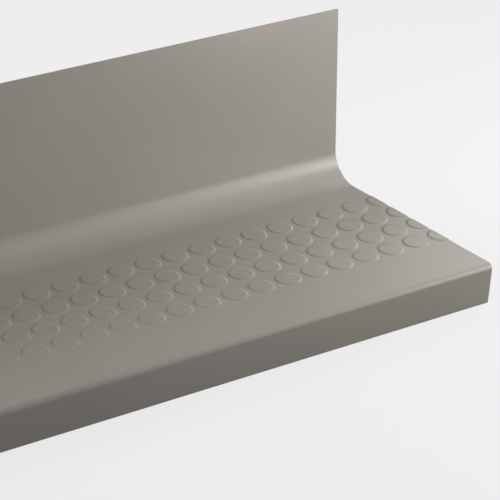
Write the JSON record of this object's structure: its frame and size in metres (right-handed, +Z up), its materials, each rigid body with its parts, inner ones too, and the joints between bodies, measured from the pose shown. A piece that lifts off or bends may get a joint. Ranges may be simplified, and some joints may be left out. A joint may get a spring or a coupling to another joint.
{
  "type": "stair tread and riser",
  "caption": "One-piece moulded rubber stair tread with a square hanging nose, a field of low raised discs, a coved back corner and a plain riser.",
  "frame": {"origin": "Centre of the footprint at the bottom edge of the lip.", "axes": "+X along the tread's length; -Y is where the nose faces and +Y is where the riser stands; +Z up, square to the tread surface."},
  "size_m": [0.9144, 0.2668, 0.228],
  "materials": {
    "rubber": "matte"
  },
  "bodies": {
    "root": {"tread_and_riser": "rubber"}
  },
  "joints": []
}
